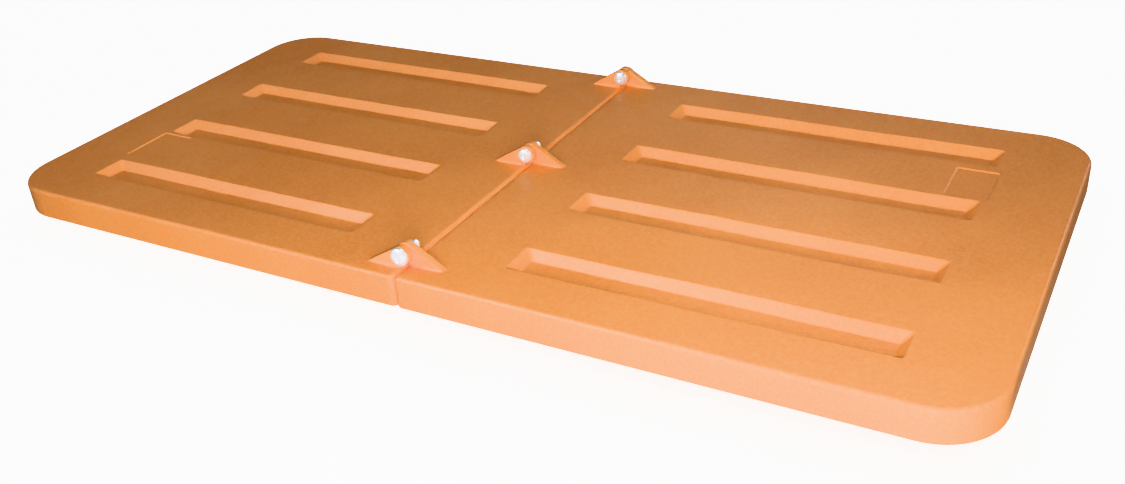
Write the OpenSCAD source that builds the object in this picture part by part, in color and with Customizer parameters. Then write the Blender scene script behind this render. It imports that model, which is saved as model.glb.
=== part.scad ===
// Folding two-panel cover, moulded in polyethylene, with three bolted hinge points.
// Millimetres, +Z up. The origin is on the seam line, at the middle of the underside.
// +X runs along the cover, towards the right panel, and +Y runs across it.

/* [Panels] */
// Length of one panel, from the seam line to its outer end
panel_len = 560; // [480:5:700]
// Width of the cover, across both skirts
panel_w = 536; // [520:4:620]
// Height of the skirt, from its rim to the top face
skirt_h = 34; // [28:1:45]
// Wall thickness of the moulding
wall = 5; // [4:0.5:6]
// Radius of each outer corner, seen from above
corner_r = 61; // [40:1:80]
// Radius of each corner beside the seam, seen from above
seam_corner_r = 5.5; // [5:0.5:12]
// Radius that rounds the edge between the top face and the skirt
edge_r = 4.5; // [2:0.5:4.5]
// Gap between the two panels at the seam
seam_gap = 1.2; // [0.8:0.2:3]

/* [Channels] */
// Number of recessed stiffening channels in one panel
channel_count = 4; // [2:1:4]
// Distance between the centre lines of two channels
channel_pitch = 126; // [100:1:130]
// Distance from the seam line to the near end of every channel
channel_start = 93; // [80:1:110]
// Length of a channel at the top face
channel_len = 380; // [200:5:390]
// Width of a channel at the top face
channel_w = 42; // [30:1:44]
// Depth of a channel
channel_depth = 9; // [5:0.5:12]
// How far a channel's sloped wall leans in from the top face to the floor
channel_lean = 10; // [6:0.5:12]

/* [Label recess] */
// Length of the blank label recess, along the cover
label_len = 45; // [30:1:60]
// Width of the blank label recess, across the cover
label_w = 66; // [40:1:80]
// Depth of the blank label recess
label_depth = 1; // [0.6:0.1:1.5]
// Distance from the seam line to the middle of the label recess
label_x = 457; // [300:1:460]
// Distance from the cover's centre line to the middle of the label recess
label_y = 121; // [118:1:124]

/* [Hinges] */
// Distance from the middle hinge to each outer hinge
hinge_pitch = 241.5; // [180:0.5:242]
// Height of the hinge axis above the top face
pivot_rise = 13.5; // [13:0.5:18]
// Radius of a lug's nose, around the hinge axis
lug_r = 10; // [9.5:0.5:11]
// Reach of a lug from the seam line to the foot of its slope
lug_reach = 42; // [34:1:60]
// Thickness of a lug, along the hinge axis
lug_t = 8; // [7:0.5:10]

/* [Hinge hardware] */
// Diameter of the screw's shank
screw_d = 8; // [6:1:8]
// Length of the screw under its head
screw_len = 29; // [28:1:34]
// Diameter of the near screw's pan head, the largest of the three
near_head_d = 20; // [17:0.5:20]
// Diameter of the other two screws' pan heads
head_d = 17; // [16:0.5:19]
// Height of the screw's head
head_h = 6.5; // [5:0.5:7.5]
// Height of the straight rim below the head's dome
head_rim = 2; // [1:0.5:3]
// Outer diameter of the pivot sleeve
sleeve_d = 11; // [10:0.5:12]
// Outer diameter of the spacer washer and the nut's washer
washer_d = 16; // [15:0.5:18]
// Thickness of the spacer washer between the two lugs
spacer_t = 1; // [0.8:0.1:1.5]
// Thickness of the washer under the nut
washer_t = 1.6; // [1:0.2:2]
// Width of the lock nut across its flats
nut_af = 13; // [12:0.5:14]
// Height of the thin lock nut
nut_h = 5.5; // [5:0.5:8]

/* [Hidden] */
$fn = 96;
eps = 0.01;

// Fits: the lugs turn on the sleeves, and the rest is a plain clearance round the screw
running_fit = 0.06;
screw_fit = 0.2;
thread_fit = 0.03;
end_play = 0.1;

// Hinge line and lugs
hinge_ys = [-hinge_pitch, 0, hinge_pitch];
pivot_z = skirt_h + pivot_rise;
foot_dist = norm([lug_reach, pivot_rise]);
// The slope aims a little inside the nose's tangent, so that it crosses the nose cleanly
slope_r = lug_r - 0.05;
slope_angle = atan(pivot_rise / lug_reach) + asin(slope_r / foot_dist);
seam_x = seam_gap / 2;

// Stations along the hinge axis, from the middle of a hinge towards the nut
lug_front = spacer_t / 2;
lug_back = lug_front + lug_t;
sleeve_end = lug_back + end_play;
nut_front = sleeve_end + washer_t;
nut_back = nut_front + nut_h;

// Nylon insert, held in the collar behind the nut's thread
insert_t = 1.8;
collar_lip = 0.8;
insert_wall = 1.3;
insert_back = nut_back - collar_lip;
insert_front = insert_back - insert_t;
insert_d = screw_d + 2 * insert_wall;

// Cross recess in the screw's head
recess_w = 1.6;
recess_len = 8.4;
recess_depth = 2.6;

// ---------- Shapes that repeat ----------

// A rounded plan outline, pulled in from the panel's own outline by inset
module plan(inset) {
    outer_r = corner_r - inset;
    inner_r = max(seam_corner_r - inset, 1);
    x0 = seam_x + inset;
    x1 = panel_len - inset;
    half_w = panel_w / 2 - inset;
    translate([x0, inner_r - half_w]) square([x1 - x0 - outer_r, 2 * (half_w - inner_r)]);
    translate([x0 + inner_r, -half_w]) square([x1 - x0 - inner_r - outer_r, 2 * half_w]);
    translate([x1 - outer_r - eps, outer_r - half_w]) square([outer_r + eps, 2 * (half_w - outer_r)]);
    for (side = [-1, 1]) {
        translate([x0 + inner_r, side * (half_w - inner_r)]) circle(r = inner_r);
        translate([x1 - outer_r, side * (half_w - outer_r)]) circle(r = outer_r);
    }
}

// A block's section with its top outer edge rounded: x is outward, y is up
module edge_section(depth) {
    square([depth, skirt_h - edge_r]);
    square([depth - edge_r, skirt_h]);
    translate([depth - edge_r, skirt_h - edge_r]) intersection() {
        circle(r = edge_r);
        square(edge_r);
    }
}

// A straight stretch of panel along +Y, rounded on its +X edge
module edge_bar(depth, length) {
    rotate([90, 0, 0]) linear_extrude(length, center = true) edge_section(depth);
}

// A quarter-turn corner of the panel, rounded on its outside
module corner_post(radius) {
    rotate_extrude(angle = 90) edge_section(radius);
}

// The panel's outer form, before it is hollowed: four corners, four edges and the middle
module panel_form() {
    half_w = panel_w / 2;
    mid_x0 = seam_x + seam_corner_r;
    mid_x1 = panel_len - corner_r;
    translate([mid_x1, half_w - corner_r, 0]) corner_post(corner_r);
    translate([mid_x1, corner_r - half_w, 0]) rotate([0, 0, -90]) corner_post(corner_r);
    translate([mid_x0, half_w - seam_corner_r, 0]) rotate([0, 0, 90]) corner_post(seam_corner_r);
    translate([mid_x0, seam_corner_r - half_w, 0]) rotate([0, 0, 180]) corner_post(seam_corner_r);
    translate([mid_x1, 0, 0]) edge_bar(corner_r, panel_w - 2 * corner_r);
    translate([mid_x0, 0, 0]) mirror([1, 0, 0]) edge_bar(seam_corner_r, panel_w - 2 * seam_corner_r);
    translate([(mid_x0 + mid_x1) / 2, 0, 0]) {
        rotate([0, 0, 90]) edge_bar(half_w, mid_x1 - mid_x0);
        rotate([0, 0, -90]) edge_bar(half_w, mid_x1 - mid_x0);
    }
}

// A trough below the top face: its walls lean in with depth. Grow widens and deepens it.
module trough(grow, above) {
    depth = channel_depth + grow;
    spread = channel_lean / channel_depth;
    rise = above * spread;
    top_len = channel_len + 2 * grow + 2 * rise;
    top_w = channel_w + 2 * grow + 2 * rise;
    floor_len = channel_len + 2 * grow - 2 * depth * spread;
    floor_w = channel_w + 2 * grow - 2 * depth * spread;
    intersection() {
        rotate([90, 0, 0]) linear_extrude(top_w, center = true)
            leaning_section(top_len, floor_len, above, depth);
        rotate([90, 0, 90]) linear_extrude(top_len, center = true)
            leaning_section(top_w, floor_w, above, depth);
    }
}

// A trapezium that is top_size wide at height above, and floor_size wide at -depth
module leaning_section(top_size, floor_size, above, depth) {
    polygon([
        [-top_size / 2, above],
        [top_size / 2, above],
        [floor_size / 2, -depth],
        [-floor_size / 2, -depth]
    ]);
}

// Places its child at every channel's middle, at the height of the top face
module at_channels() {
    for (i = [0 : channel_count - 1])
        translate([channel_start + channel_len / 2, (i - (channel_count - 1) / 2) * channel_pitch, skirt_h])
            children();
}

// One hinge lug, with its front face at y = 0, before it is bored
module lug_blank() {
    slope_top = [slope_r * sin(slope_angle), slope_r * cos(slope_angle)];
    translate([0, lug_t, pivot_z]) rotate([90, 0, 0]) linear_extrude(lug_t) {
        circle(r = lug_r);
        polygon([
            [0, 0],
            slope_top,
            [lug_reach, -pivot_rise],
            [lug_reach, -pivot_rise - wall / 2],
            [seam_x + edge_r, -pivot_rise - wall / 2],
            [seam_x + edge_r / 2, -pivot_rise]
        ]);
    }
}

// A shaft or bore along the hinge axis, between two stations measured from the hinge's middle
module along_axis(from, to, diameter) {
    translate([0, to, pivot_z]) rotate([90, 0, 0]) cylinder(h = to - from, d = diameter);
}

// ---------- Sub-parts ----------

module panel() {
    difference() {
        union() {
            difference() {
                panel_form();
                difference() {
                    translate([0, 0, -1]) linear_extrude(skirt_h - wall + 1) plan(wall);
                    at_channels() trough(wall, 1);
                }
            }
            for (y = hinge_ys) translate([0, y + lug_front, 0]) lug_blank();
        }
        at_channels() trough(0, 1);
        translate([label_x, label_y, skirt_h])
            cube([label_len, label_w, 2 * label_depth], center = true);
        for (y = hinge_ys)
            translate([0, y, 0]) along_axis(lug_front - 1, lug_back + 1, sleeve_d + 2 * running_fit);
    }
}

module right_panel() {
    color("darkorange") panel();
}

module left_panel() {
    color("darkorange") rotate([0, 0, 180]) panel();
}

module hinge_screw(d = head_d) {
    dome_h = head_h - head_rim;
    dome_r = (dome_h * dome_h + d * d / 4) / (2 * dome_h);
    color("silver") difference() {
        union() {
            along_axis(-sleeve_end - eps, screw_len - sleeve_end, screw_d);
            translate([0, -sleeve_end, pivot_z]) rotate([90, 0, 0]) intersection() {
                translate([0, 0, head_h - dome_r]) sphere(r = dome_r);
                cylinder(h = head_h + 1, d = d);
            }
        }
        for (turn = [0, 90])
            translate([0, -sleeve_end - head_h, pivot_z]) rotate([0, turn, 0])
                cube([recess_len, 2 * recess_depth, recess_w], center = true);
    }
}

module pivot_sleeve() {
    color("lightgray") difference() {
        along_axis(-sleeve_end, sleeve_end, sleeve_d);
        along_axis(-sleeve_end - 1, sleeve_end + 1, screw_d + 2 * screw_fit);
    }
}

module spacer_washer() {
    color("whitesmoke") difference() {
        along_axis(-spacer_t / 2 + eps, spacer_t / 2 - eps, washer_d);
        along_axis(-spacer_t, spacer_t, sleeve_d + 2 * screw_fit);
    }
}

module nut_washer() {
    color("silver") difference() {
        along_axis(sleeve_end, nut_front, washer_d);
        along_axis(sleeve_end - 1, nut_front + 1, screw_d + 2 * screw_fit);
    }
}

// Hexagonal nut with a round collar that holds the insert
module lock_nut() {
    collar_h = nut_h / 4;
    collar_d = nut_af * 0.95;
    across_corners = nut_af / cos(30);
    color("silver") difference() {
        union() {
            translate([0, nut_back - collar_h, pivot_z]) rotate([90, 0, 0])
                cylinder(h = nut_h - collar_h, d = across_corners, $fn = 6);
            along_axis(nut_back - collar_h - eps, nut_back, collar_d);
        }
        along_axis(nut_front - 1, nut_back + 1, screw_d + 2 * thread_fit);
        along_axis(insert_front, insert_back, insert_d);
    }
}

module nut_insert() {
    color("white") difference() {
        along_axis(insert_front, insert_back, insert_d);
        along_axis(insert_front - 1, insert_back + 1, screw_d + 2 * thread_fit);
    }
}

left_panel();
right_panel();

translate([0, hinge_ys[0], 0]) hinge_screw(near_head_d);  // near_hinge_screw
translate([0, hinge_ys[0], 0]) pivot_sleeve();  // near_pivot_sleeve
translate([0, hinge_ys[0], 0]) spacer_washer();  // near_spacer_washer
translate([0, hinge_ys[0], 0]) nut_washer();  // near_nut_washer
translate([0, hinge_ys[0], 0]) lock_nut();  // near_lock_nut
translate([0, hinge_ys[0], 0]) nut_insert();  // near_nut_insert

translate([0, hinge_ys[1], 0]) hinge_screw();  // middle_hinge_screw
translate([0, hinge_ys[1], 0]) pivot_sleeve();  // middle_pivot_sleeve
translate([0, hinge_ys[1], 0]) spacer_washer();  // middle_spacer_washer
translate([0, hinge_ys[1], 0]) nut_washer();  // middle_nut_washer
translate([0, hinge_ys[1], 0]) lock_nut();  // middle_lock_nut
translate([0, hinge_ys[1], 0]) nut_insert();  // middle_nut_insert

translate([0, hinge_ys[2], 0]) hinge_screw();  // far_hinge_screw
translate([0, hinge_ys[2], 0]) pivot_sleeve();  // far_pivot_sleeve
translate([0, hinge_ys[2], 0]) spacer_washer();  // far_spacer_washer
translate([0, hinge_ys[2], 0]) nut_washer();  // far_nut_washer
translate([0, hinge_ys[2], 0]) lock_nut();  // far_lock_nut
translate([0, hinge_ys[2], 0]) nut_insert();  // far_nut_insert
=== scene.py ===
"""Looks of the folding two-panel cover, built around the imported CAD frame.

Every length is in metres, and every piece is built where the CAD has it. +X runs along the cover,
+Y across it and away from the screw heads, and +Z up. The origin is on the seam line, in the plane
of the skirts' rims.
"""

import math

import bmesh
import bpy
import numpy as np
from mathutils import Matrix, Quaternion, Vector


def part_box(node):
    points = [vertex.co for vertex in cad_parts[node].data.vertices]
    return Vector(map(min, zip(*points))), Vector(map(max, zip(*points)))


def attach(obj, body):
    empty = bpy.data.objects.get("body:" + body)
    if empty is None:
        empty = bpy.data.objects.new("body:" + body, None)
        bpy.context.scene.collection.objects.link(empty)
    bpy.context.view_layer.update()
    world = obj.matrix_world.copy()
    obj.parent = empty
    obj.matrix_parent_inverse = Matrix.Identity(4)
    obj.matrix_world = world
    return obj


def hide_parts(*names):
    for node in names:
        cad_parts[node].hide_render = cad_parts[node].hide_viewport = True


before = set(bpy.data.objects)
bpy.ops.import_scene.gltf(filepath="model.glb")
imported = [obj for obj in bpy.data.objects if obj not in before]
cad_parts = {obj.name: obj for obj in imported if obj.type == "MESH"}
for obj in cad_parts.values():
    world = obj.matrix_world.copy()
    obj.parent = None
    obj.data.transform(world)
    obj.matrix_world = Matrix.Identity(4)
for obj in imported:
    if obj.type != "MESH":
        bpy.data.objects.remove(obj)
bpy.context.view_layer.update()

MM = 0.001
HINGES = ("near", "middle", "far")


def stations(node):
    """First and last y of one of the middle hinge's pieces, which is where y = 0."""
    low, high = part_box(f"middle_{node}")
    return low.y, high.y


# Sizes that the frame gives
PANEL_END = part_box("right_panel")[1].x
HALF_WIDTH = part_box("right_panel")[1].y
PIVOT_Z = sum(corner.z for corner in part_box("middle_pivot_sleeve")) / 2
HINGE_YS = [sum(corner.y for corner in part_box(f"{hinge}_pivot_sleeve")) / 2 for hinge in HINGES]

# Stations along a hinge's axis: the screw's head is on the negative side, and its seat is the sleeve's end
HEAD_FRONT, SCREW_END = stations("hinge_screw")
SLEEVE = stations("pivot_sleeve")
SPACER = stations("spacer_washer")
NUT_WASHER = stations("nut_washer")
NUT = stations("lock_nut")
INSERT = stations("nut_insert")
HEAD_SEAT = SLEEVE[0]

# The moulding
PIVOT_RISE = 13.5 * MM
TOP_Z = PIVOT_Z - PIVOT_RISE
SEAM_X = 0.6 * MM
CORNER_R = 61 * MM
SEAM_CORNER_R = 5.5 * MM
INNER_SEAM_CORNER_R = 1.5 * MM
EDGE_R = 4.5 * MM
RIM_R = 1.2 * MM
WALL = 5 * MM
INNER_FILLET = 4 * MM
GRID_STEP = 10 * MM

# Unevenness of the top face: its height, how far it stays from the edges, and how far it takes to fade in
WAVE_HEIGHT = 0.3 * MM
WAVE_SEAM_MARGIN = 60 * MM
WAVE_EDGE_MARGIN = 20 * MM
WAVE_FADE = 70 * MM

# The channels and the label recess. A crest is the rounding at a recess's mouth, a root the one at its floor.
CHANNEL_START = 93 * MM
CHANNEL_SIZE = (380 * MM, 42 * MM)
CHANNEL_DEPTH = 9 * MM
CHANNEL_LEAN = 10 * MM
CHANNEL_CREST_R = 2.4 * MM
CHANNEL_ROOT_R = 3.2 * MM
CHANNEL_CORNER_R = 4 * MM
CHANNEL_PITCH = 126 * MM
CHANNEL_YS = [(i - 1.5) * CHANNEL_PITCH for i in range(4)]
LABEL_CENTRE = (457 * MM, 121 * MM)
LABEL_SIZE = (45 * MM, 66 * MM)
LABEL_DEPTH = 1.1 * MM
LABEL_LEAN = 1.6 * MM
LABEL_EDGE_R = 0.8 * MM
LABEL_CORNER_R = 1.5 * MM

# The lugs
LUG_R = 10 * MM
LUG_REACH = 42 * MM
LUG_FRONT = 0.5 * MM
LUG_T = 8 * MM
LUG_SUNK = 2.5 * MM
LUG_EDGE_R = 2 * MM
LUG_FILLET = 3.6 * MM
LUG_FLARE = 1 * MM
FILLET_FADE = 3 * MM

# The hinge hardware
HEAD_R = {"near": 10 * MM, "middle": 8.5 * MM, "far": 8.5 * MM}
HEAD_RIM = 2 * MM
SCREW_R = 4 * MM
SCREW_TIP_CHAMFER = 1.1 * MM
THREAD_LENGTH = 16 * MM
THREAD_PITCH = 1.25 * MM
THREAD_DEPTH = 0.7 * MM
BORE_R = 5.56 * MM
SLEEVE_R = 5.5 * MM
WASHER_R = 8 * MM
WASHER_BORE_R = 4.2 * MM
SPACER_BORE_R = 5.7 * MM
NUT_FLATS = 13 * MM
NUT_BORE_R = 4.03 * MM
INSERT_R = 5.3 * MM


# ---------- Mesh helpers ----------

def mesh_from(name, points, faces):
    """A mesh with its faces turned outwards."""
    mesh = bpy.data.meshes.new(name)
    mesh.from_pydata([tuple(p) for p in points], [], faces)
    work = bmesh.new()
    work.from_mesh(mesh)
    bmesh.ops.recalc_face_normals(work, faces=work.faces)
    work.to_mesh(mesh)
    work.free()
    return mesh


def new_object(name, mesh):
    """A new object in the scene that shows the mesh."""
    piece = bpy.data.objects.new(name, mesh)
    bpy.context.scene.collection.objects.link(piece)
    return piece


def apply_modifiers(piece):
    """Replaces the piece's mesh by its evaluated one, so that no modifier is left on it."""
    depsgraph = bpy.context.evaluated_depsgraph_get()
    mesh = bpy.data.meshes.new_from_object(piece.evaluated_get(depsgraph))
    piece.modifiers.clear()
    piece.data = mesh


def combine(piece, operation, *others):
    """Exact boolean of the piece with the others, which are then removed."""
    for other in others:
        step = piece.modifiers.new("combine", "BOOLEAN")
        step.operation = operation
        step.solver = "EXACT"
        step.object = other
    apply_modifiers(piece)
    for other in others:
        bpy.data.objects.remove(other)


def bevel(piece, width, segments, angle=35):
    """Rounds every edge that turns by more than an angle, in degrees."""
    step = piece.modifiers.new("bevel", "BEVEL")
    step.width = width
    step.segments = segments
    step.limit_method = "ANGLE"
    step.angle_limit = math.radians(angle)
    apply_modifiers(piece)


def smooth_shading(piece):
    """Smooth shading in which large flat faces keep their own normals."""
    for polygon in piece.data.polygons:
        polygon.use_smooth = True
    normals = piece.modifiers.new("normals", "WEIGHTED_NORMAL")
    normals.mode = "FACE_AREA"
    normals.weight = 90
    apply_modifiers(piece)


def arc(centre, radius, start, end, steps):
    """Points along an arc in a plane, with its angles in degrees."""
    angles = np.radians(np.linspace(start, end, steps + 1))
    return [(centre[0] + radius * math.cos(a), centre[1] + radius * math.sin(a)) for a in angles]


def extrude_outline(name, outline, thickness):
    """A closed (x, z) outline drawn out along +Y."""
    count = len(outline)
    points = [(x, y, z) for y in (0, thickness) for x, z in outline]
    faces = [list(range(count)), list(range(2 * count - 1, count - 1, -1))]
    faces += [(i, (i + 1) % count, count + (i + 1) % count, count + i) for i in range(count)]
    return new_object(name, mesh_from(name, points, faces))


def lathe(name, profile, steps=64, closed=False):
    """A (radius, y) profile turned about the Y axis. An open profile gets a flat face at each end."""
    angles = np.linspace(0, 2 * math.pi, steps, endpoint=False)
    points = [(r * math.cos(a), y, r * math.sin(a)) for r, y in profile for a in angles]
    spans = len(profile) if closed else len(profile) - 1
    faces = []
    for k in range(spans):
        first = k * steps
        second = (k + 1) % len(profile) * steps
        faces += [(first + i, first + (i + 1) % steps, second + (i + 1) % steps, second + i)
                  for i in range(steps)]
    if not closed:
        last = (len(profile) - 1) * steps
        faces += [list(range(steps)), list(range(last, last + steps))]
    return new_object(name, mesh_from(name, points, faces))


def soft_ring(inner, outer, low, high, rounding, arc_steps=4):
    """Closed (radius, y) section of a ring whose four edges are rounded."""
    section = []
    corners = ((outer, high, 0), (inner, high, 90), (inner, low, 180), (outer, low, 270))
    for r, y, start in corners:
        centre = (r - math.copysign(rounding, math.cos(math.radians(start + 45))),
                  y - math.copysign(rounding, math.sin(math.radians(start + 45))))
        section += arc(centre, rounding, start, start + 90, arc_steps)
    return section


# ---------- The panels' top face and underside ----------

def recess_profile(depth, lean, crest_r, root_r, arc_steps, wall_steps):
    """(distance in from the mouth, height) along a recess's wall, rounded at its crest and at its root."""
    slope = math.atan2(depth, lean)
    degrees = math.degrees(slope)
    crest = crest_r * math.tan(slope / 2)
    root = root_r * math.tan(slope / 2)
    above = arc((-crest, -crest_r), crest_r, 90, 90 - degrees, arc_steps)
    below = arc((lean + root, root_r - depth), root_r, 270 - degrees, 270, arc_steps)
    wall = np.linspace(above[-1], below[0], wall_steps + 1)[1:-1]
    return np.array(above + [tuple(p) for p in wall] + below)


CHANNEL_PROFILE = recess_profile(CHANNEL_DEPTH, CHANNEL_LEAN, CHANNEL_CREST_R, CHANNEL_ROOT_R, 5, 5)
LABEL_PROFILE = recess_profile(LABEL_DEPTH, LABEL_LEAN, LABEL_EDGE_R, LABEL_EDGE_R, 3, 1)


def recess(x, y, centre, size, profile, rounding, shift=0.0):
    """Height that a rectangular recess gives at a point, with its plan corners rounded off."""
    along = size[0] / 2 - np.abs(x - centre[0])
    across = size[1] / 2 - np.abs(y - centre[1])
    blend = np.maximum(rounding - np.abs(along - across), 0) / rounding
    inside = np.minimum(along, across) - blend * blend * rounding / 4
    return np.interp(inside + shift, profile[:, 0], profile[:, 1])


def channels(x, y, shift=0.0):
    """Height that the channels give at a point. The shift widens them, for the underside."""
    centre_x = CHANNEL_START + CHANNEL_SIZE[0] / 2
    heights = [recess(x, y, (centre_x, centre_y), CHANNEL_SIZE, CHANNEL_PROFILE, CHANNEL_CORNER_R, shift)
               for centre_y in CHANNEL_YS]
    return np.minimum.reduce(heights)


def waviness(x, y):
    """Slight unevenness of a rotationally moulded face, which fades out towards the panel's edges."""
    margin = np.minimum.reduce([x - WAVE_SEAM_MARGIN,
                                PANEL_END - WAVE_EDGE_MARGIN - x,
                                HALF_WIDTH - WAVE_EDGE_MARGIN - np.abs(y)])
    fade = np.clip(margin / WAVE_FADE, 0, 1)
    wave = np.sin(x * 31 + 1.3) * np.cos(y * 27 + 0.4) + 0.6 * np.sin(x * 17 - y * 43 + 2.1)
    wave += 0.4 * np.cos(x * 71 + y * 23) * np.sin(y * 61 + 0.7)
    return WAVE_HEIGHT * fade * fade * (3 - 2 * fade) * wave


def lug_slope():
    """Angle of a lug's slope below the horizontal, in radians."""
    return math.atan2(PIVOT_RISE, LUG_REACH) + math.asin(LUG_R / math.hypot(LUG_REACH, PIVOT_RISE))


def lug_fillets(x, y):
    """Rise of the top face into the sides of the lugs' feet."""
    rise = np.zeros_like(x)
    lug_height = np.clip((LUG_REACH - x) * math.tan(lug_slope()), 0, None)
    radius = np.minimum(LUG_FILLET, lug_height * 0.5)
    radius *= np.clip((x - SEAM_X - EDGE_R) / FILLET_FADE, 0, 1)
    for hinge_y in HINGE_YS:
        middle = hinge_y + LUG_FRONT + LUG_T / 2
        away = np.clip(np.abs(y - middle) - LUG_T / 2, 0, radius)
        rise = np.maximum(rise, radius - np.sqrt(radius ** 2 - (radius - away) ** 2))
    return rise


def top_height(x, y):
    """Height of the right panel's top face."""
    label = recess(x, y, LABEL_CENTRE, LABEL_SIZE, LABEL_PROFILE, LABEL_CORNER_R)
    return TOP_Z + waviness(x, y) + channels(x, y) + label + lug_fillets(x, y)


def under_height(x, y):
    """Height of the right panel's underside.

    The shift makes the wall as thick on the channels' slopes as it is elsewhere.
    """
    shift = WALL * (math.hypot(CHANNEL_LEAN, CHANNEL_DEPTH) - CHANNEL_LEAN) / CHANNEL_DEPTH
    return TOP_Z - WALL + waviness(x, y) + channels(x, y, shift)


def filled(lines):
    """Sorted grid lines, with evenly spaced ones added wherever two are more than a grid step apart."""
    keys = sorted(set(round(float(s), 6) for s in lines))
    places = [keys[0]]
    for a, b in zip(keys, keys[1:]):
        steps = math.ceil((b - a) / GRID_STEP)
        places += [a + (b - a) * k / steps for k in range(1, steps + 1)]
    return np.array(places)


def grid_lines():
    """Grid lines along x and along y, close together where the surface curves."""
    seam_low, seam_block = SEAM_X + EDGE_R, SEAM_CORNER_R - EDGE_R
    half = HALF_WIDTH - EDGE_R
    corner_steps = np.linspace(0, CORNER_R - EDGE_R, 13)
    fillet_steps = np.linspace(0, LUG_FILLET, 5)
    lug_toe = 12 * MM
    wall, label_wall = CHANNEL_PROFILE[:, 0], LABEL_PROFILE[:, 0]

    xs = [seam_low, seam_low + seam_block / 2, seam_low + seam_block, seam_low + FILLET_FADE, LUG_REACH]
    xs += list(np.linspace(LUG_REACH - lug_toe, LUG_REACH, 7))
    xs += list(PANEL_END - CORNER_R + corner_steps)
    xs += list(CHANNEL_START + wall)
    xs += list(CHANNEL_START + CHANNEL_SIZE[0] - wall)
    xs += [LABEL_CENTRE[0] + side * (LABEL_SIZE[0] / 2 - s) for side in (-1, 1) for s in label_wall]

    ys = [side * (half - s) for side in (-1, 1) for s in (0, seam_block / 2, seam_block)]
    ys += [side * (HALF_WIDTH - CORNER_R + s) for side in (-1, 1) for s in corner_steps]
    ys += [centre + side * (CHANNEL_SIZE[1] / 2 - s)
           for centre in CHANNEL_YS for side in (-1, 1) for s in wall]
    ys += [LABEL_CENTRE[1] + side * (LABEL_SIZE[1] / 2 - s) for side in (-1, 1) for s in label_wall]
    ys += [y + LUG_FRONT + LUG_T / 2 + side * (LUG_T / 2 + s)
           for y in HINGE_YS for side in (-1, 1) for s in fillet_steps]
    return filled(xs), filled(ys)


def round_corners(x, y, low_x, high_x, half_y, seam_r, outer_r):
    """Bends a rectangular grid's corner blocks into quarter discs.

    Gives the bent points, and the outward normals of the points on the rim.
    """
    tiny = 1e-7
    px, py = x.copy(), y.copy()
    nx = np.where(x > high_x - tiny, 1.0, np.where(x < low_x + tiny, -1.0, 0.0))
    ny = np.where(np.abs(y) > half_y - tiny, 1.0, 0.0)
    for radius, centre_x, out in ((outer_r, high_x - outer_r, 1), (seam_r, low_x + seam_r, -1)):
        dx = (x - centre_x) * out
        dy = np.abs(y) - (half_y - radius)
        block = (dx > -tiny) & (dy > -tiny) & (np.maximum(dx, dy) > tiny)
        dx, dy = np.maximum(dx[block], 0), np.maximum(dy[block], 0)
        reach = np.maximum(dx, dy)
        angle = np.where(dx >= dy, dy / reach, 2 - dx / reach) * math.pi / 4
        px[block] = centre_x + out * reach * np.cos(angle)
        py[block] = np.sign(y[block]) * (half_y - radius + reach * np.sin(angle))
        rim = reach > radius - tiny
        nx[block] = np.where(rim, out * np.cos(angle), nx[block])
        ny[block] = np.where(rim, np.sin(angle), ny[block])
    return px, py, nx, ny * np.sign(y)


def perimeter(columns, rows):
    """(column, row) of every vertex round the edge of a grid, in order."""
    front = [(i, 0) for i in range(columns)]
    end = [(columns - 1, j) for j in range(1, rows)]
    back = [(i, rows - 1) for i in range(columns - 2, -1, -1)]
    seam = [(0, j) for j in range(rows - 2, 0, -1)]
    return np.array(front + end + back + seam).T


def outer_sections():
    """(inset from the skirt's outer face, height) from the top face's rim down to the bottom of the skirt."""
    top = [(EDGE_R * (1 - math.sin(a)), TOP_Z - EDGE_R * (1 - math.cos(a)))
           for a in np.radians(np.linspace(15, 90, 6))]
    side = [(0.0, z) for z in np.linspace(TOP_Z - EDGE_R, RIM_R, 5)[1:]]
    rim = [(RIM_R * (1 - math.cos(a)), RIM_R * (1 - math.sin(a))) for a in np.radians((30, 60, 90))]
    return top + side + rim


def inner_sections():
    """(inset from the skirt's outer face, height) from the bottom of the skirt up to the underside's rim."""
    ceiling = TOP_Z - WALL
    rim = [(WALL - RIM_R * (1 - math.sin(a)), RIM_R * (1 - math.cos(a))) for a in np.radians((0, 30, 60, 90))]
    side = [(WALL, z) for z in np.linspace(RIM_R, ceiling - INNER_FILLET, 4)[1:]]
    fillet = [(WALL + INNER_FILLET * (1 - math.cos(a)), ceiling - INNER_FILLET * (1 - math.sin(a)))
              for a in np.radians((22.5, 45, 67.5))]
    return rim + side + fillet


def drawn_in(lines, old_ends, new_ends, margins):
    """Grid lines whose ends are moved in to new ends. What lies between the margins stays where it is."""
    old = [old_ends[0], *margins, old_ends[1]]
    new = [new_ends[0], *margins, new_ends[1]]
    return np.interp(lines, old, new)


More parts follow.
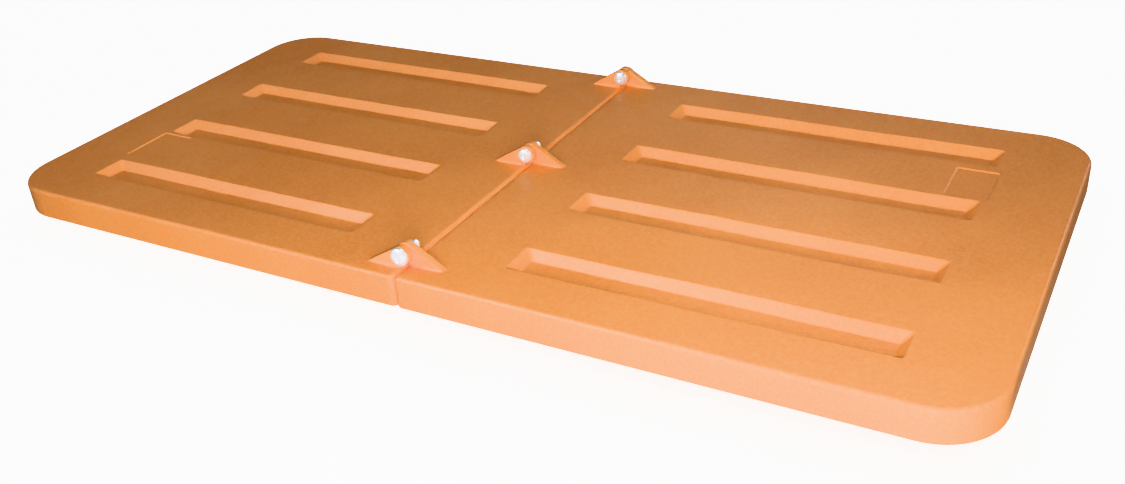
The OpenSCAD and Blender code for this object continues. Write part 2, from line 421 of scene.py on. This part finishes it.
def moulding_mesh(name):
    """The right panel without its lugs: top face, skirt and underside, as one closed mesh."""
    xs, ys = grid_lines()
    columns, rows = len(xs), len(ys)
    inset = WALL + INNER_FILLET
    top_ends = (SEAM_X + EDGE_R, PANEL_END - EDGE_R)
    top_half = HALF_WIDTH - EDGE_R
    under_ends = (SEAM_X + inset, PANEL_END - inset)
    under_half = HALF_WIDTH - inset
    end_margins = (CHANNEL_START - 8 * MM, PANEL_END - CORNER_R)
    side_margin = CHANNEL_YS[-1] + CHANNEL_SIZE[1] * 0.75
    under_xs = drawn_in(xs, top_ends, under_ends, end_margins)
    under_ys = drawn_in(ys, (-top_half, top_half), (-under_half, under_half), (-side_margin, side_margin))

    x, y = np.meshgrid(xs, ys, indexing="ij")
    x, y, nx, ny = round_corners(x, y, *top_ends, top_half, SEAM_CORNER_R - EDGE_R, CORNER_R - EDGE_R)
    ux, uy = np.meshgrid(under_xs, under_ys, indexing="ij")
    ux, uy, unx, uny = round_corners(ux, uy, *under_ends, under_half, INNER_SEAM_CORNER_R, CORNER_R - inset)

    loop = perimeter(columns, rows)
    at = (loop[0], loop[1])
    count = len(loop[0])
    points = [np.stack([x, y, top_height(x, y)], -1).reshape(-1, 3)]
    points += [np.stack([ux, uy, under_height(ux, uy)], -1).reshape(-1, 3)]
    for section_inset, z in outer_sections():
        out = EDGE_R - section_inset
        points.append(np.column_stack([x[at] + nx[at] * out, y[at] + ny[at] * out, np.full(count, z)]))
    for section_inset, z in inner_sections():
        out = inset - section_inset
        points.append(np.column_stack([ux[at] + unx[at] * out, uy[at] + uny[at] * out, np.full(count, z)]))

    cells = [(i * rows + j, (i + 1) * rows + j, (i + 1) * rows + j + 1, i * rows + j + 1)
             for i in range(columns - 1) for j in range(rows - 1)]
    under = columns * rows
    faces = cells + [tuple(under + v for v in reversed(cell)) for cell in cells]
    top_ring = loop[0] * rows + loop[1]
    ring_count = len(outer_sections()) + len(inner_sections())
    rings = [2 * under + k * count + np.arange(count) for k in range(ring_count)]
    rings = [top_ring] + rings + [under + top_ring]
    for upper, lower in zip(rings, rings[1:]):
        turned_upper, turned_lower = np.roll(upper, -1), np.roll(lower, -1)
        faces += [tuple(int(v) for v in quad) for quad in zip(turned_upper, upper, lower, turned_lower)]
    return mesh_from(name, np.concatenate(points), faces)


# ---------- The lugs and the finished panels ----------

def lug(name, hinge_y):
    """One lug of the right panel, bored for its sleeve, with its edges rounded."""
    slope_end = 90 - math.degrees(lug_slope())
    back_end = 282
    foot = -PIVOT_RISE - LUG_SUNK
    outline = arc((0, 0), LUG_R, slope_end, back_end, 36)
    outline += [(SEAM_X + EDGE_R * 0.5, -PIVOT_RISE), (SEAM_X + EDGE_R + LUG_FLARE, foot)]
    outline += [(LUG_REACH + LUG_FLARE, foot), (LUG_REACH, -PIVOT_RISE)]
    blank = extrude_outline(name, outline, LUG_T)
    bevel(blank, LUG_EDGE_R, 4)
    bore = lathe("bore", [(BORE_R, -LUG_T), (BORE_R, 2 * LUG_T)])
    combine(blank, "DIFFERENCE", bore)
    blank.data.transform(Matrix.Translation((0, hinge_y + LUG_FRONT, PIVOT_Z)))
    return blank


def build_panels():
    """The right panel, and the left panel as the same moulding turned half a turn about the vertical."""
    right = new_object("right_panel_moulding", moulding_mesh("right_panel_moulding"))
    lugs = [lug(f"lug_{hinge}", y) for hinge, y in zip(HINGES, HINGE_YS)]
    combine(right, "UNION", *lugs)
    smooth_shading(right)
    left = new_object("left_panel_moulding", right.data.copy())
    left.data.transform(Matrix.Rotation(math.pi, 4, "Z"))
    for piece, body, node in ((right, "right_half", "right_panel"), (left, "left_half", "left_panel")):
        finish_piece(piece, body, node, "orange_polyethylene")


# ---------- Hinge hardware ----------

def screw_head(head_r):
    """Pan head with a polished dome and a tapered cross recess, its seat in the plane y = 0."""
    height = HEAD_SEAT - HEAD_FRONT
    edge = 0.5 * MM
    neck_rise, neck_spread = 0.2 * MM, 0.4 * MM
    profile = [(0.3 * MM, neck_rise), (SCREW_R, neck_rise), (SCREW_R + neck_spread, 0)]
    profile += [(r, -y) for r, y in arc((head_r - edge, edge), edge, -90, 0, 4)]
    for t in np.linspace(0, 1, 22)[:-1]:
        angle = t * math.pi / 2
        dome = math.sin(angle) ** 0.9
        profile.append((head_r * math.cos(angle) ** 0.8, -HEAD_RIM - (height - HEAD_RIM) * dome))
    head = lathe("head", profile, 72)
    combine(head, "DIFFERENCE", recess_arm(0, height), recess_arm(math.pi / 2, height))
    return head


def recess_arm(turn, height):
    """One arm of the cross recess: a wedge that narrows towards its floor."""
    # y, half length and half width, first clear of the head and then at the floor
    levels = ((-height - 0.6 * MM, 4.2 * MM, 0.95 * MM), (-height + 3 * MM, 2.2 * MM, 0.6 * MM))
    points = [(side_x * length, y, side_z * width)
              for y, length, width in levels
              for side_x, side_z in ((-1, -1), (1, -1), (1, 1), (-1, 1))]
    faces = [(0, 1, 2, 3), (7, 6, 5, 4)] + [(i, (i + 1) % 4, 4 + (i + 1) % 4, 4 + i) for i in range(4)]
    mesh = mesh_from("arm", points, faces)
    mesh.transform(Matrix.Rotation(turn, 4, "Y"))
    return new_object("arm", mesh)


def threaded_shank():
    """Shank with a helical thread on its free end. The seat of its head is the plane y = 0."""
    length = SCREW_END - HEAD_SEAT
    thread_start = length - THREAD_LENGTH
    inside_head = -0.5 * MM
    steps = 40
    sections = np.concatenate([np.linspace(inside_head, thread_start, 6)[:-1],
                               np.arange(thread_start, length + 1e-9, THREAD_PITCH / 8)])
    angles = np.linspace(0, 2 * math.pi, steps, endpoint=False)
    points = []
    for y in sections:
        phase = (y / THREAD_PITCH - angles / (2 * math.pi)) % 1
        # 1 along the groove's floor and 0 along the crest, with a flank between them
        cut = np.clip(1.25 - np.abs(phase - 0.5) * 3.2, 0, 1)
        fade = np.clip((y - thread_start) / THREAD_PITCH, 0, 1)
        tip = np.clip(y - length + SCREW_TIP_CHAMFER, 0, None)
        radius = np.minimum(SCREW_R - THREAD_DEPTH * cut * fade, SCREW_R - tip)
        points += [(r * math.cos(a), y, r * math.sin(a)) for r, a in zip(radius, angles)]
    faces = []
    for k in range(len(sections) - 1):
        first, second = k * steps, (k + 1) * steps
        faces += [(first + i, first + (i + 1) % steps, second + (i + 1) % steps, second + i)
                  for i in range(steps)]
    last = (len(sections) - 1) * steps
    faces += [list(range(steps)), list(range(last, last + steps))]
    return new_object("shank", mesh_from("shank", points, faces))


def hinge_screw(name, head_r):
    """A whole screw, its axis on y, with its head's seat at the sleeve's end."""
    screw = screw_head(head_r)
    combine(screw, "UNION", threaded_shank())
    screw.name = name
    screw.data.transform(Matrix.Translation((0, HEAD_SEAT, 0)))
    return screw


def lock_nut(name):
    """Thin hexagonal nut with chamfered corners, and a collar rolled over its insert."""
    front, back = NUT
    hex_back = back - (back - front) / 4
    corner_r = NUT_FLATS / math.sqrt(3)
    outline = [(corner_r * math.cos(a), corner_r * math.sin(a)) for a in np.radians(range(0, 360, 60))]
    nut = extrude_outline(name, outline, hex_back - front)
    nut.data.transform(Matrix.Translation((0, front, 0)))
    face_r, chamfer, spare = NUT_FLATS / 2 - 0.2 * MM, 0.75 * MM, 0.5 * MM
    envelope = [(face_r, front), (corner_r, front + chamfer), (corner_r + spare, front + chamfer + spare / 2),
                (corner_r + spare, hex_back - chamfer - spare / 2), (corner_r, hex_back - chamfer),
                (face_r, hex_back)]
    combine(nut, "INTERSECT", lathe("envelope", envelope, 72))
    collar_r, roll = NUT_FLATS * 0.475, 1 * MM
    collar = [(SCREW_R, hex_back - roll), (collar_r, hex_back - roll)]
    collar += arc((collar_r - roll, back - roll), roll, 0, 90, 6)
    collar += [(NUT_BORE_R + spare, back), (NUT_BORE_R, back - 0.3 * MM)]
    combine(nut, "UNION", lathe("collar", collar, 72, closed=True))
    bore = [(NUT_BORE_R, front - 1 * MM), (NUT_BORE_R, back + 1 * MM)]
    room = [(INSERT_R, INSERT[0]), (INSERT_R, INSERT[1])]
    combine(nut, "DIFFERENCE", lathe("bore", bore), lathe("room", room))
    return nut


def ring(name, inner, outer, span, rounding):
    """A ring about the Y axis, over a span of y."""
    return lathe(name, soft_ring(inner, outer, span[0], span[1], rounding), closed=True)


def finish_piece(piece, body, node, material_name):
    """Puts the piece on its body, in place of its CAD node, with its material."""
    piece.data.materials.clear()
    piece.data.materials.append(MATERIALS[material_name])
    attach(piece, body)
    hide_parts(node)


def build_hinge(hinge, hinge_y):
    """One hinge's six pieces, which stay with the left panel."""
    sleeve = ring(f"{hinge}_sleeve_tube", WASHER_BORE_R, SLEEVE_R, SLEEVE, 0.3 * MM)
    spacer = ring(f"{hinge}_spacer_ring", SPACER_BORE_R, WASHER_R, SPACER, 0.2 * MM)
    washer = ring(f"{hinge}_washer_ring", WASHER_BORE_R, WASHER_R, NUT_WASHER, 0.25 * MM)
    insert = ring(f"{hinge}_insert_ring", NUT_BORE_R, INSERT_R, INSERT, 0.2 * MM)
    pieces = (
        (hinge_screw(f"{hinge}_screw_body", HEAD_R[hinge]), "hinge_screw", "screw_steel"),
        (sleeve, "pivot_sleeve", "plain_steel"),
        (spacer, "spacer_washer", "natural_nylon"),
        (washer, "nut_washer", "screw_steel"),
        (lock_nut(f"{hinge}_nut_body"), "lock_nut", "screw_steel"),
        (insert, "nut_insert", "natural_nylon"),
    )
    for piece, kind, material_name in pieces:
        piece.data.transform(Matrix.Translation((0, hinge_y, PIVOT_Z)))
        smooth_shading(piece)
        finish_piece(piece, "left_half", f"{hinge}_{kind}", material_name)


# ---------- Materials ----------

class Nodes:
    """A material's node tree, with short calls for the nodes that are used here."""

    def __init__(self, name):
        self.material = bpy.data.materials.new(name)
        self.material.use_nodes = True
        self.tree = self.material.node_tree
        self.surface = self.tree.nodes["Principled BSDF"]
        self.place = self.add("ShaderNodeTexCoord").outputs["Object"]

    def add(self, kind, inputs=(), **settings):
        """A new node with its settings, and with values or other nodes' outputs fed into its inputs."""
        node = self.tree.nodes.new(kind)
        for key, value in settings.items():
            setattr(node, key, value)
        for key, value in dict(inputs).items():
            self.feed(node.inputs[key], value)
        return node

    def feed(self, socket, value):
        if isinstance(value, bpy.types.NodeSocket):
            self.tree.links.new(value, socket)
        else:
            socket.default_value = value

    def set(self, **values):
        """Feeds the surface's inputs, named with underscores for spaces."""
        for key, value in values.items():
            self.feed(self.surface.inputs[key.replace("_", " ")], value)

    def noise(self, scale, detail=2.0):
        """Noise in the piece's own space, with its scale in features to the metre."""
        inputs = {"Vector": self.place, "Scale": scale, "Detail": detail}
        return self.add("ShaderNodeTexNoise", inputs).outputs["Fac"]

    def spread(self, value, low, high, new_low, new_high):
        """A value's range from low to high, stretched over a new range and cut off at its ends."""
        inputs = {"Value": value, "From Min": low, "From Max": high, "To Min": new_low, "To Max": new_high}
        return self.add("ShaderNodeMapRange", inputs).outputs["Result"]

    def mix(self, share, first, second):
        """The first colour, with a share of the second."""
        node = self.add("ShaderNodeMix", data_type="RGBA")
        colour_inputs = [s for s in node.inputs if s.type == "RGBA"]
        factor = [s for s in node.inputs if s.type == "VALUE"][0]
        self.feed(factor, share)
        self.feed(colour_inputs[0], first)
        self.feed(colour_inputs[1], second)
        return [s for s in node.outputs if s.type == "RGBA"][0]

    def bump(self, height, distance, strength, below=None):
        """A normal that follows a height, on top of the bump below it."""
        inputs = {"Height": height, "Distance": distance, "Strength": strength}
        if below is not None:
            inputs["Normal"] = below
        return self.add("ShaderNodeBump", inputs).outputs["Normal"]


def orange_polyethylene():
    """Satin moulded plastic: cloudy pigment, a fine grain, a painted highlight along convex edges and a
    shallow orange-peel surface.
    """
    n = Nodes("orange_polyethylene")
    clouds = n.spread(n.noise(5, 4), 0.35, 0.68, 0, 1)
    colour = n.mix(clouds, (0.75, 0.262, 0.066, 1), (0.825, 0.315, 0.09, 1))
    grain = n.spread(n.noise(340, 3), 0.35, 0.65, 0, 1)
    colour = n.mix(grain, colour, n.mix(0.26, colour, (0.95, 0.50, 0.20, 1)))
    # Painted highlight: convex edges, found by pointiness, are lightened towards pale orange as if their
    # rounding caught the light.
    edges = n.add("ShaderNodeNewGeometry").outputs["Pointiness"]
    colour = n.mix(n.spread(edges, 0.52, 0.60, 0, 0.35), colour, (0.90, 0.45, 0.17, 1))
    dull = n.noise(38, 3)
    peel = n.bump(n.noise(170, 2), 0.0005, 0.3)
    pores = n.bump(n.noise(700, 2), 0.0003, 0.5, peel)
    n.set(Base_Color=colour, Roughness=n.spread(dull, 0.3, 0.7, 0.36, 0.48), Normal=pores, IOR=1.51,
          Specular_IOR_Level=0.3, Subsurface_Weight=0.1, Subsurface_Scale=0.004,
          Subsurface_Radius=(1.0, 0.45, 0.2))
    return n.material


def zinc_steel(name, colour, roughness):
    """Bright plated steel with faint cloudiness in its polish."""
    n = Nodes(name)
    haze = n.noise(900, 3)
    darker = tuple(c * 0.86 for c in colour[:3]) + (1,)
    tone = n.mix(n.noise(260, 2), colour, darker)
    polish = n.spread(haze, 0.3, 0.7, roughness - 0.04, roughness + 0.05)
    n.set(Base_Color=tone, Metallic=0.65, Roughness=polish, Normal=n.bump(haze, 0.00002, 0.2))
    return n.material


def natural_nylon():
    """Off-white translucent nylon with a slightly uneven tone."""
    n = Nodes("natural_nylon")
    tone = n.mix(n.noise(300, 2), (0.80, 0.78, 0.70, 1), (0.88, 0.87, 0.81, 1))
    n.set(Base_Color=tone, Roughness=0.5, Subsurface_Weight=0.3, Subsurface_Scale=0.002,
          Normal=n.bump(n.noise(700, 2), 0.00004, 0.4))
    return n.material


MATERIALS = {
    "orange_polyethylene": orange_polyethylene(),
    "screw_steel": zinc_steel("screw_steel", (0.92, 0.94, 1.0, 1), 0.32),
    "plain_steel": zinc_steel("plain_steel", (0.58, 0.58, 0.57, 1), 0.36),
    "natural_nylon": natural_nylon(),
}


# ---------- Stage, light and camera ----------

FLOOR_REACH = 60
WHITE_GLOW = 2.5
SKY_LIGHT = 0.25


def pale_floor():
    """Pale floor that glows white for the camera alone. Where the object nearly covers it, ambient occlusion
    takes the glow away as painted shade, and the floor's own lit shading shows.
    """
    corners = [(side_x * FLOOR_REACH, side_y * FLOOR_REACH, 0)
               for side_x, side_y in ((-1, -1), (1, -1), (1, 1), (-1, 1))]
    floor = new_object("floor", mesh_from("floor", corners, [(0, 1, 2, 3)]))
    n = Nodes("floor_white")
    n.set(Base_Color=(0.36, 0.36, 0.36, 1), Roughness=0.9, Specular_IOR_Level=0.1)
    lit = n.surface.outputs["BSDF"]
    glow = n.add("ShaderNodeEmission", {"Color": (1, 1, 1, 1), "Strength": WHITE_GLOW})
    glowing = n.add("ShaderNodeAddShader", {0: lit, 1: glow.outputs["Emission"]})
    camera_ray = n.add("ShaderNodeLightPath").outputs["Is Camera Ray"]
    # Painted shade: ambient occlusion fades the camera's white glow out under and close beside the object, so
    # the floor shows darker there.
    openness = n.add("ShaderNodeAmbientOcclusion", {"Distance": 50 * MM}, samples=8).outputs["AO"]
    uncovered = n.spread(openness, 0.15, 0.4, 0, 1)
    share = n.add("ShaderNodeMath", {0: camera_ray, 1: uncovered}, operation="MULTIPLY").outputs[0]
    mixed = n.add("ShaderNodeMixShader", {0: share, 1: lit, 2: glowing.outputs["Shader"]})
    n.feed(n.tree.nodes["Material Output"].inputs["Surface"], mixed.outputs["Shader"])
    floor.data.materials.append(n.material)


def soft_light(name, place, aim, size, power, shadows=True, diffuse=True, gloss=True):
    """A round area light. Without diffuse it shows only in reflections, and without gloss only in shading."""
    lamp = bpy.data.lights.new(name, "AREA")
    lamp.shape = "DISK"
    lamp.size = size
    lamp.energy = power
    lamp.use_shadow = shadows
    holder = bpy.data.objects.new(name, lamp)
    holder.location = place
    holder.rotation_euler = (Vector(aim) - Vector(place)).to_track_quat("-Z", "Y").to_euler()
    holder.visible_diffuse = diffuse
    holder.visible_glossy = gloss
    bpy.context.scene.collection.objects.link(holder)


def sky():
    """White for the camera, and a weak even light for everything else."""
    world = bpy.data.worlds.new("studio")
    world.use_nodes = True
    nodes, links = world.node_tree.nodes, world.node_tree.links
    background = nodes["Background"]
    background.inputs["Color"].default_value = (1, 1, 1, 1)
    camera_ray = nodes.new("ShaderNodeLightPath").outputs["Is Camera Ray"]
    strength = nodes.new("ShaderNodeMath")
    strength.operation = "MULTIPLY_ADD"
    strength.inputs[1].default_value = WHITE_GLOW
    strength.inputs[2].default_value = SKY_LIGHT
    links.new(camera_ray, strength.inputs[0])
    links.new(strength.outputs[0], background.inputs["Strength"])
    bpy.context.scene.world = world


def lights():
    """A low main light in front and to the right, weak fills all round, and lights only reflections show."""
    middle = (0, 0, 0)
    key_place = (0.57, -1.03, 0.355)
    soft_light("key", key_place, middle, 0.3, 8, gloss=False)
    soft_light("key_wrap", key_place, middle, 0.3, 18.5, shadows=False, gloss=False)
    soft_light("left_fill", (-1.7, -1.2, 1.3), (-0.3, 0, 0), 0.8, 2.5, gloss=False)
    soft_light("side_fill", (2.6, -0.3, 0.5), (0.4, 0, 0), 0.8, 7, gloss=False)
    soft_light("back_fill", (-0.6, 2.4, 0.5), middle, 1.0, 14, gloss=False)
    # Sheen on the lugs' slopes, then the bright lines along the rolled edges
    soft_light("slope_gloss", (0.0, 1.3, 1.7), middle, 0.35, 6, diffuse=False)
    soft_light("edge_gloss", (-0.9, -1.5, 1.6), middle, 0.25, 110, diffuse=False)
    soft_light("right_edge_gloss", (1.4, 1.9, 0.8), (0.5, 0, 0), 0.3, 7, diffuse=False)


def camera():
    """Camera at the viewing angle, slightly tilted, with a small shift of its picture."""
    place = Vector((0.6386, -1.0144, 0.605))
    aim = Vector((0.1259, -0.1647, 0.034))
    view = bpy.data.cameras.new("camera")
    view.sensor_width = 36
    view.lens = 37.54
    view.shift_x = 0.0041
    view.shift_y = 0.0089
    view.clip_start = 0.01
    holder = bpy.data.objects.new("camera", view)
    holder.location = place
    holder.rotation_mode = "QUATERNION"
    tilt = Quaternion((0, 0, 1), math.radians(-4.555))
    holder.rotation_quaternion = (aim - place).to_track_quat("-Z", "Y") @ tilt
    bpy.context.scene.collection.objects.link(holder)
    bpy.context.scene.camera = holder


build_panels()
for hinge, hinge_y in zip(HINGES, HINGE_YS):
    build_hinge(hinge, hinge_y)
pale_floor()
sky()
lights()
camera()
bpy.context.scene.view_settings.view_transform = "Khronos PBR Neutral"

bpy.context.view_layer.update()
